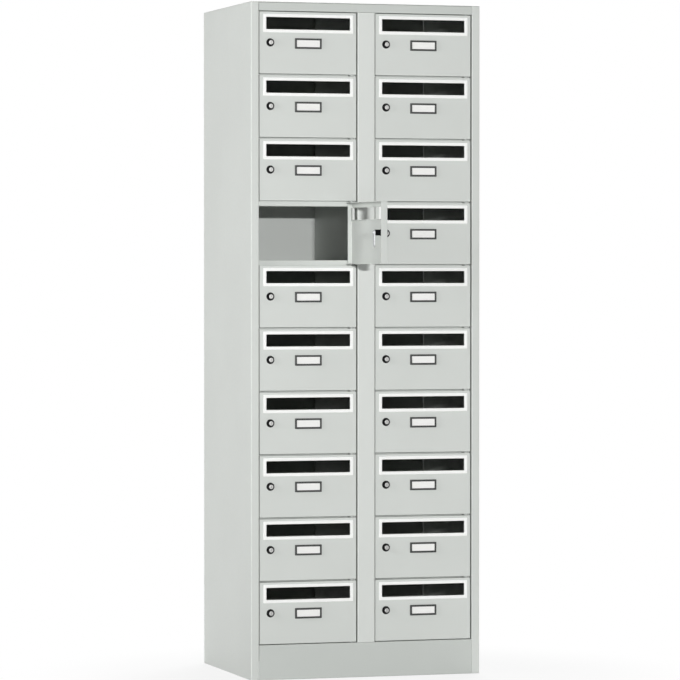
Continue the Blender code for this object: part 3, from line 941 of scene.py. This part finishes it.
def pan_box():
    """The folded pan as a skin without thickness, before its holes are cut."""
    bm = new_shape()
    middle = Vector(((door_left + door_right) / 2, (door_face + door_back) / 2, door_height / 2))
    size = Vector((door_right - door_left, door_back - door_face, door_height))
    bmesh.ops.create_cube(bm, size=1, matrix=Matrix.LocRotScale(middle, None, size))
    rear = max(bm.faces, key=lambda face: face.calc_center_median().y)
    bmesh.ops.delete(bm, geom=[rear], context="FACES_ONLY")
    parts = bm.verts[:] + bm.edges[:] + bm.faces[:]
    corner = (door_right, hinge_back, 0)
    bmesh.ops.bisect_plane(bm, geom=parts, plane_co=corner, plane_no=(1, 1, 0), clear_outer=True)
    fold_edges(bm, steep_edges(bm), DOOR_FOLD)
    return bm


print("door", mm(door_right - door_left), "x", mm(door_height), "mm")

# %% [markdown]
# ## The slot and the holes of the pan
# The slot's edges are turned in as a hem, so that nobody's hand meets a raw edge. The hem is the slot's
# outline stepped round a small fold and then straight back. The lock needs a round hole in the face, and
# the pins need one in each flange. The sheet gets its thickness last, when all openings are there.

# %% Holes of the pan
SLOT_MARGINS = (0.0185, 0.0168)
SLOT_DROP, SLOT_HEIGHT = 0.014, 0.033
SLOT_CORNER = 0.0016
HEM_DEPTH = 0.005
HEM_FOLD = 0.0012
LOCK_PLACE = (0.030, 0.082)
LOCK_HOLE = 0.0082
PIN_HOLE = 0.0024
CIRCLE_SIDES = 32
slot_low = Vector((door_left + SLOT_MARGINS[0], door_height - SLOT_DROP - SLOT_HEIGHT))
slot_high = Vector((door_right - SLOT_MARGINS[1], door_height - SLOT_DROP))
lock_axis = Vector((door_left + LOCK_PLACE[0], door_height - LOCK_PLACE[1]))


def door_pan():
    """The whole pan, with its slot, its holes and its thickness."""
    bm = pan_box()
    by_depth = sorted(bm.faces, key=lambda face: face.calc_center_median().y)
    by_height = sorted(bm.faces, key=lambda face: face.calc_center_median().z)
    face, bottom, top = by_depth[0], by_height[0], by_height[-1]
    around = Vector((HEM_FOLD, HEM_FOLD))
    corners = rectangle(bm, slot_low - around, slot_high + around, door_face)
    slot = round_corners(bm, corners, SLOT_CORNER + HEM_FOLD)
    holes = [disc(bm, (lock_axis.x, door_face, lock_axis.y), LOCK_HOLE, CIRCLE_SIDES, (0, -1, 0))]
    fill_round(bm, face, [slot] + holes)
    for flange_face, level in ((bottom, 0), (top, door_height)):
        holes.append(disc(bm, (0, 0, level), PIN_HOLE, PIN_SIDES, (0, 0, 1)))
        fill_round(bm, flange_face, holes[-1:])
    step_in(bm, slot, round_back(HEM_FOLD, FOLD_STEPS) + [(0, HEM_FOLD - HEM_DEPTH)])
    bmesh.ops.delete(bm, geom=[slot] + holes, context="FACES_ONLY")
    thicken(bm, (0, -1, 0), SHEET)
    return bm


pan_shape = shape_mesh("door_pan", door_pan())
print("pan", len(pan_shape.polygons), "faces, slot", [mm(v) for v in slot_high - slot_low], "mm")

# %% [markdown]
# ## The slot trim and the label frame
# A thin off-white moulding lies round the slot, with a rounded outer edge and a lip that turns in over
# the hem. The label frame is a small dark moulding that stands proud of the door, with a flat rim round
# the card and a bed behind it. Both are shells, as such mouldings are: a rectangle is stepped in along
# the section, the middle is taken out, the corners are rounded along their mitres, and the shell gets a
# thin wall.

# %% Trim and label frame
FACE_GAP = 0.00005
TRIM_WIDTH, TRIM_LIP = 0.008, 0.0004
TRIM_ROUND, TRIM_TURN = 0.00085, 0.001
TRIM_FLAT = TRIM_WIDTH + TRIM_LIP - TRIM_ROUND - TRIM_TURN
TRIM_CORNER = 0.0018
TRIM_WALL = 0.0003
# forward, round the outer edge, across the face, round the lip and back into the slot
TRIM_STEPS = [(0, 0.0003), *round_over(TRIM_ROUND), (TRIM_FLAT, 0), *round_back(TRIM_TURN), (0, -0.0014)]
LABEL_SIZE = Vector((0.0735, 0.0280))
LABEL_DROP = 0.0837
LABEL_CORNER = 0.0011
LABEL_WALL = 0.00025
# forward up the flank, round its edge, across the rim, down a slope and back to the card
LABEL_STEPS = [(0, 0.0040), *round_over(0.0006), (0.0036, 0), (0.0008, -0.0008), (0, -0.0004)]
BED_INSET, BED_PROUD = 0.0006, 0.0029


def is_mitre(edge):
    """Whether an edge of a stepped rectangle runs inward or forward, and not along a side."""
    run = edge.verts[1].co - edge.verts[0].co
    return sum(abs(v) > HAIR for v in run) > 1 or abs(run.y) > HAIR


def moulded_frame(low, high, steps, corner, wall):
    """A thin-walled frame in front of the door's face, stepped in from this rectangle."""
    bm = new_shape()
    face = rectangle(bm, low, high, door_face - FACE_GAP)[0].link_faces[0]
    step_in(bm, face, steps)
    bmesh.ops.delete(bm, geom=[face], context="FACES_ONLY")
    bmesh.ops.recalc_face_normals(bm, faces=bm.faces)
    round_edges(bm, [edge for edge in bm.edges if is_mitre(edge)], corner, CORNER_STEPS)
    thicken(bm, (0, -1, 0), wall)
    return bm


around = Vector((TRIM_WIDTH, TRIM_WIDTH))
bm = moulded_frame(slot_low - around, slot_high + around, TRIM_STEPS, TRIM_CORNER, TRIM_WALL)
trim_shape = shape_mesh("slot_trim", bm)
label_middle = Vector(((door_left + door_right) / 2, door_height - LABEL_DROP))
label_low, label_high = label_middle - LABEL_SIZE / 2, label_middle + LABEL_SIZE / 2
bm = moulded_frame(label_low, label_high, LABEL_STEPS, LABEL_CORNER, LABEL_WALL)
bed_middle = Vector((label_middle.x, door_face - (BED_PROUD + FACE_GAP) / 2, label_middle.y))
bed_size = Vector((LABEL_SIZE.x - 2 * BED_INSET, BED_PROUD - FACE_GAP, LABEL_SIZE.y - 2 * BED_INSET))
bmesh.ops.create_cube(bm, size=1, matrix=Matrix.LocRotScale(bed_middle, None, bed_size))
frame_shape = shape_mesh("label_frame", bm)
print("trim", len(trim_shape.polygons), "faces, label frame", len(frame_shape.polygons))

# %% [markdown]
# ## The label card
# A bare card lies in each label frame, to be written on. It is a rectangle with rounded corners and the
# thickness of stiff paper. It lies on the frame's bed, and the rim hides its border.

# %% Label card
CARD_INSET = 0.0046
CARD_THICKNESS = 0.0003
CARD_CORNER = 0.0006

bm = new_shape()
inset = Vector((CARD_INSET, CARD_INSET))
card_face = door_face - BED_PROUD - CARD_THICKNESS
round_corners(bm, rectangle(bm, label_low + inset, label_high - inset, card_face), CARD_CORNER)
thicken(bm, (0, -1, 0), CARD_THICKNESS)
card_shape = shape_mesh("label_card", bm)
print("card", [mm(v) for v in LABEL_SIZE - 2 * inset], "mm")

# %% [markdown]
# ## The fixed half of the cam lock
# The lock is a threaded barrel through the door with a nut behind it. In front, its bezel is a cone that
# stands proud of the door, so that from the left each lock shows a broad dark flank, and its light face
# seems moved to the right; the flank's near-black colour is painted shade. Round parts are spun from
# their profile, given as radius and depth behind the door's face. The thread is a row of shallow rings,
# which looks like a helix at this size and stays closed.

# %% Bezel, barrel and nut
BEZEL_PROFILE = [
    (0.0060, 0.0),
    (0.0110, 0.0),
    (0.0110, -0.0010),
    (0.0108, -0.0014),
    (0.0073, -0.0088),
    (0.0071, -0.0091),
    (0.0068, -0.0092),
    (0.0061, -0.0092),
    (0.0060, -0.0091),
]
BARREL_RADIUS = 0.0079
BORE_RADIUS = 0.0049
BARREL_START, BARREL_END = 0.0027, 0.0246
THREAD_START, THREAD_PITCH, THREAD_DEPTH = 0.0064, 0.0010, 0.0003
NUT_PROFILE = [
    (0.0068, 0.0011),
    (0.0106, 0.0011),
    (0.0115, 0.0015),
    (0.0115, 0.0055),
    (0.0106, 0.0060),
    (0.0068, 0.0060),
]
NUT_SIDES = 6


def turn_at_lock(bm, profile, sides=CIRCLE_SIDES, closed=False):
    """Spins a (radius, depth) profile about the lock's axis."""
    points = [(lock_axis.x + radius, door_face + depth, lock_axis.y) for radius, depth in profile]
    turn_round(bm, points + points[:1] * closed, (lock_axis.x, 0, lock_axis.y), (0, 1, 0), sides)


def barrel_profile():
    """The barrel in section: a bore, a plain neck and a threaded length."""
    profile = [(BORE_RADIUS, BARREL_START), (BARREL_RADIUS, BARREL_START)]
    depth = THREAD_START
    while depth + THREAD_PITCH < BARREL_END:
        profile.append((BARREL_RADIUS, depth))
        profile.append((BARREL_RADIUS - THREAD_DEPTH, depth + THREAD_PITCH / 2))
        depth += THREAD_PITCH
    end = BARREL_RADIUS - THREAD_DEPTH
    return profile + [(BARREL_RADIUS, depth), (end, BARREL_END), (BORE_RADIUS, BARREL_END)]


bm = new_shape()
turn_at_lock(bm, BEZEL_PROFILE, closed=True)
bezel_shape = shape_mesh("lock_bezel", bm)
bm = new_shape()
turn_at_lock(bm, barrel_profile(), closed=True)
turn_at_lock(bm, NUT_PROFILE, NUT_SIDES, closed=True)
barrel_shape = shape_mesh("lock_barrel", bm)
print("bezel", len(bezel_shape.polygons), "faces, barrel and nut", len(barrel_shape.polygons))

# %% [markdown]
# ## The plug
# The plug turns in the barrel when a key is put in. Its head fills the bezel, and a thinner shank runs
# back through the barrel: a cylinder whose rear face is stepped in and drawn out. The keyway is an
# outline in the front face, like the slot of the door, but its floor stays in, because it is a pocket.

# %% Plug
PLUG_FACE, HEAD_END, PLUG_END = -0.0089, 0.0004, 0.0252
HEAD_RADIUS, SHANK_RADIUS = 0.0058, 0.0045
PLUG_CHAMFER = 0.0003
KEYWAY = Vector((0.0014, 0.0064))
KEYWAY_DEPTH = 0.004
KEYWAY_CORNER, KEYWAY_STEPS = 0.00063, 3


def lock_plug():
    """The plug with its head, its shank and the pocket of its keyway."""
    bm = new_shape()
    middle = (lock_axis.x, door_face + (PLUG_FACE + HEAD_END) / 2, lock_axis.y)
    place = Matrix.Translation(middle) @ Matrix.Rotation(math.radians(90), 4, "X")
    bmesh.ops.create_cone(
        bm,
        cap_ends=True,
        segments=CIRCLE_SIDES,
        radius1=HEAD_RADIUS,
        radius2=HEAD_RADIUS,
        depth=HEAD_END - PLUG_FACE,
        matrix=place,
    )
    by_depth = sorted(bm.faces, key=lambda face: face.calc_center_median().y)
    step_in(bm, by_depth[-1], [(HEAD_RADIUS - SHANK_RADIUS, 0), (0, PLUG_END - HEAD_END)])
    round_edges(bm, by_depth[0].edges, PLUG_CHAMFER, EDGE_STEPS)
    face = min(bm.faces, key=lambda face: face.calc_center_median().y)
    corners = rectangle(bm, lock_axis - KEYWAY / 2, lock_axis + KEYWAY / 2, door_face + PLUG_FACE)
    keyway = round_corners(bm, corners, KEYWAY_CORNER, KEYWAY_STEPS)
    fill_round(bm, face, [keyway])
    step_in(bm, keyway, [(0, -KEYWAY_DEPTH)])
    bmesh.ops.recalc_face_normals(bm, faces=bm.faces)
    return bm


plug_shape = shape_mesh("lock_plug", lock_plug())
print("plug", len(plug_shape.polygons), "faces")

# %% [markdown]
# ## The cam
# Behind, a cam is screwed to the end of the plug, and it swings behind the stile to lock the door. The
# cam is a stamped plate that hangs down when the lock is open: a tall rectangle, narrowed at its tip,
# with its corners rounded until both ends are half circles. Stamping rolls its edges over a little.

# %% Cam and screw
CAM_START, CAM_END = 0.02505, 0.0275
CAM_HUB, CAM_TIP = 0.007, 0.0055
CAM_REACH = 0.0378
CAM_EDGE = 0.0004
CAM_STEPS = 10
SCREW_PROFILE = [
    (0.0, 0.0274),
    (0.0038, 0.0274),
    (0.0038, 0.0288),
    (0.0034, 0.0294),
    (0.0026, 0.0297),
    (0.0018, 0.0297),
    (0.0016, 0.0288),
    (0.0, 0.0288),
]


def lock_cam():
    """The cam plate and the screw that holds it."""
    bm = new_shape()
    low, high = lock_axis - Vector((CAM_HUB, CAM_REACH)), lock_axis + Vector((CAM_HUB, CAM_HUB))
    corners = rectangle(bm, low, high, door_face + CAM_START)
    tip = [vert for vert in corners if vert.co.z < lock_axis.y]
    hub = [vert for vert in corners if vert.co.z > lock_axis.y]
    about = Matrix.Translation((-lock_axis.x, 0, 0))
    bmesh.ops.scale(bm, verts=tip, vec=(CAM_TIP / CAM_HUB, 1, 1), space=about)
    round_corners(bm, hub, ROUND_SHARE * CAM_HUB, CAM_STEPS)
    round_corners(bm, tip, ROUND_SHARE * CAM_TIP, CAM_STEPS)
    thicken(bm, (0, -1, 0), CAM_END - CAM_START)
    round_edges(bm, steep_edges(bm), CAM_EDGE, EDGE_STEPS)
    turn_at_lock(bm, SCREW_PROFILE)
    return bm


cam_shape = shape_mesh("lock_cam", lock_cam())
print("cam and screw", len(cam_shape.polygons), "faces")

# %% [markdown]
# ## Setting down the twenty doors
# Every door gets the same eight pieces. Six ride on the door, and the plug and the cam ride on the
# lock, so that they turn in the door as it swings.

# %% Doors
for place in swings:
    where = door_place(place)
    door, lock = f"door_{place}", f"lock_{place}"
    set_piece(f"pan_{place}", pan_shape, door_coat, door, (door,), where)
    set_piece(f"slot_trim_{place}", trim_shape, trim_plastic, door, place=where)
    set_piece(f"label_frame_{place}", frame_shape, frame_plastic, door, place=where)
    set_piece(f"label_card_{place}", card_shape, card_board, door, place=where)
    # the bezel's near-black finish is painted shade
    set_piece(f"lock_bezel_{place}", bezel_shape, black_zinc_and_painted_shade, door, (), where)
    set_piece(f"lock_barrel_{place}", barrel_shape, black_zinc_and_painted_shade, door, place=where)
    set_piece(f"lock_plug_{place}", plug_shape, nickel, lock, (lock,), where)
    set_piece(f"lock_cam_{place}", cam_shape, zinc, lock, (), where)
print(len(pieces_made), "pieces in all")
